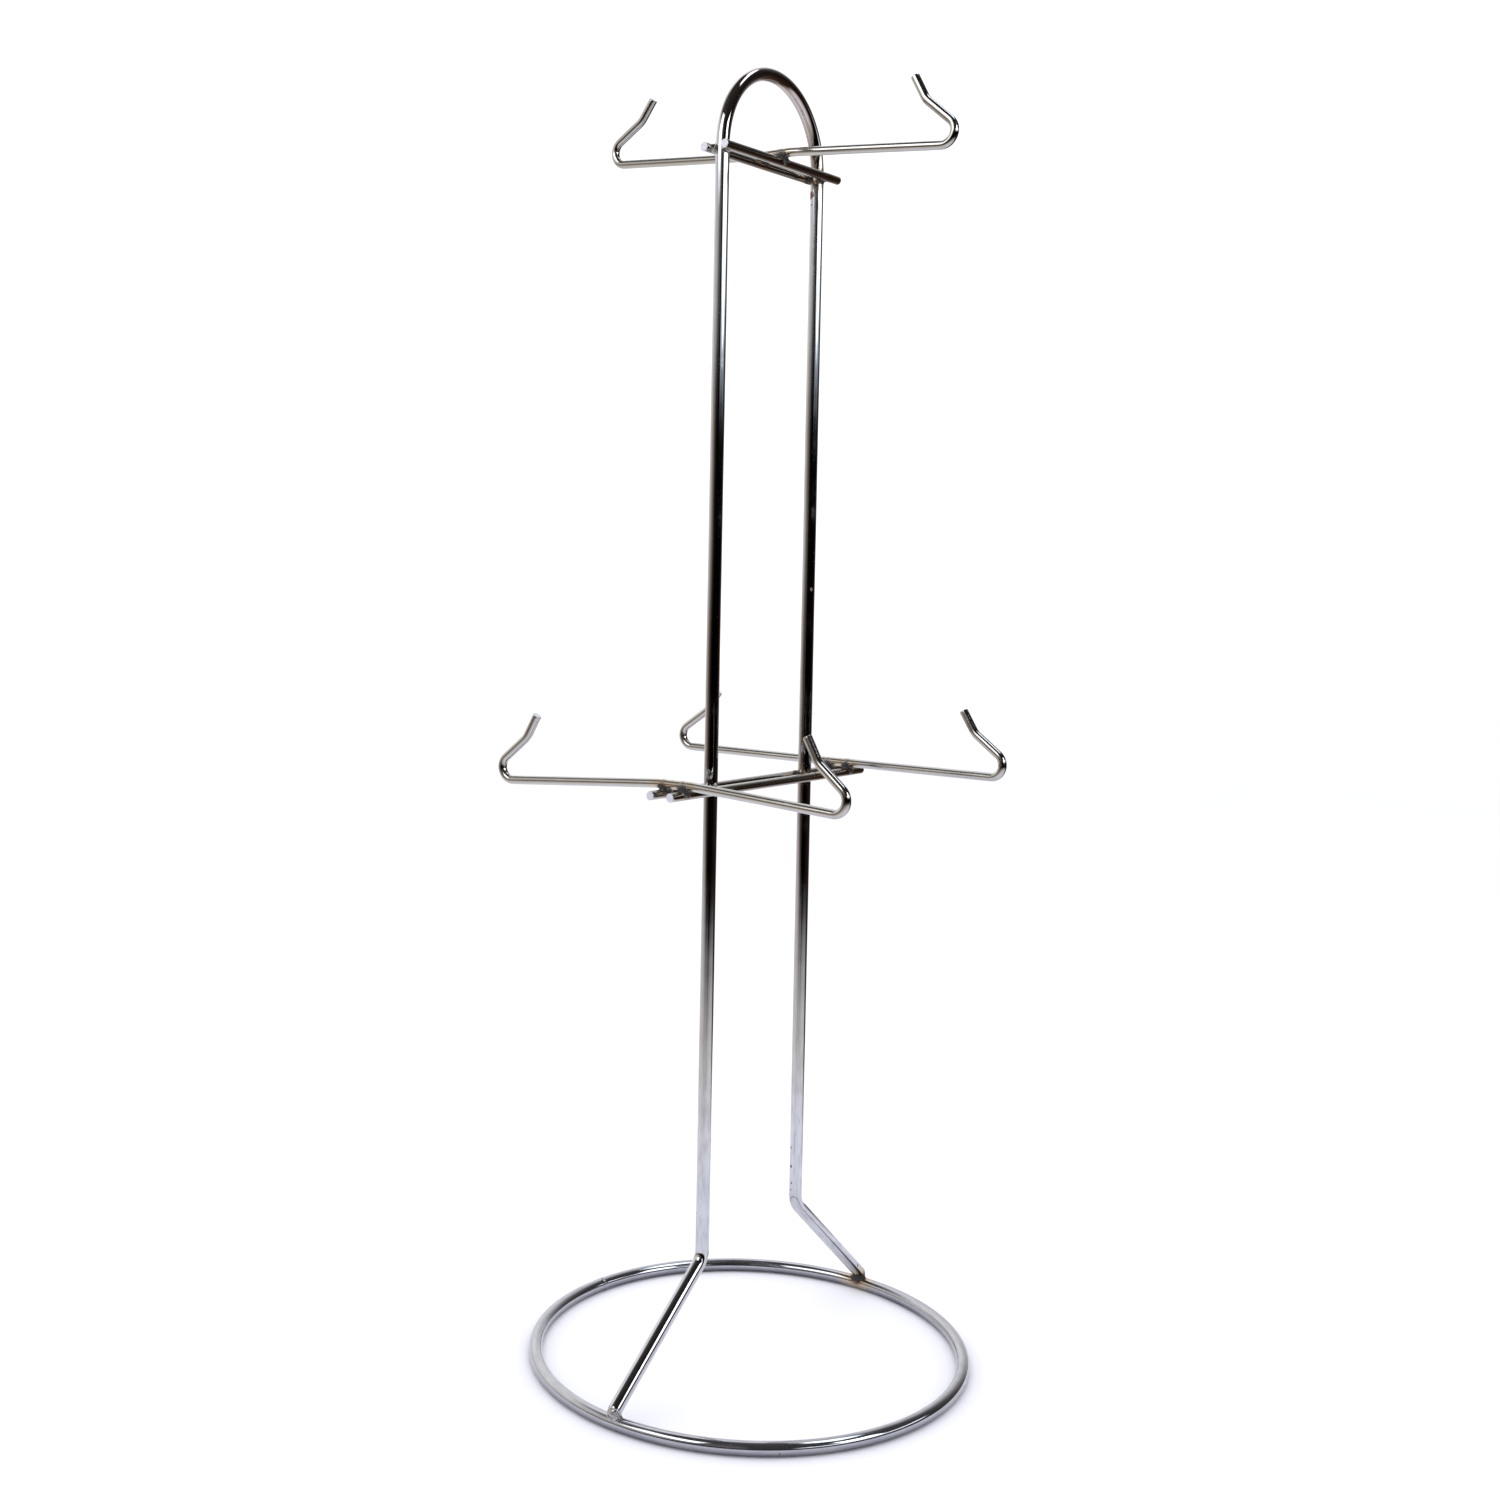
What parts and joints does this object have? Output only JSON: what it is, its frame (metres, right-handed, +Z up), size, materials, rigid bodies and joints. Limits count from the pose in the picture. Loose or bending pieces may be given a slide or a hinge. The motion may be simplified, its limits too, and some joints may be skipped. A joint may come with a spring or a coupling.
{
  "type": "wire counter display rack",
  "caption": "Chrome wire counter rack: a ring base, a tall narrow arch with splayed legs, and two tiers of cross rods carrying wires with an upturned hook at each end.",
  "frame": {"origin": "centre of the base ring, on the counter", "axes": "+X along the plane of the arch, from one foot to the other; +Y across it, along the hook arms; +Z up"},
  "size_m": [0.2096, 0.2096, 0.6051],
  "materials": {
    "wire": "bright chrome plating over drawn round steel wire, lightly worn",
    "weld": "chrome plating over a rough weld, dark and heat-stained"
  },
  "bodies": {
    "root": {"base_ring": "wire", "frame_wire": "wire", "top_rod_front": "wire", "top_rod_rear": "wire", "top_hook_wire": "wire", "middle_rod_front": "wire", "middle_rod_rear": "wire", "middle_hook_wire_near": "wire", "middle_hook_wire_far": "wire", "weld_near_foot": "weld", "weld_far_foot": "weld", "weld_top_rod_front_near_upright": "weld", "weld_top_rod_front_far_upright": "weld", "weld_top_rod_rear_near_upright": "weld", "weld_top_rod_rear_far_upright": "weld", "weld_middle_rod_front_near_upright": "weld", "weld_middle_rod_front_far_upright": "weld", "weld_middle_rod_rear_near_upright": "weld", "weld_middle_rod_rear_far_upright": "weld", "weld_top_hook_wire_front_rod": "weld", "weld_top_hook_wire_rear_rod": "weld", "weld_middle_hook_wire_near_front_rod": "weld", "weld_middle_hook_wire_near_rear_rod": "weld", "weld_middle_hook_wire_far_front_rod": "weld", "weld_middle_hook_wire_far_rear_rod": "weld"}
  },
  "joints": []
}
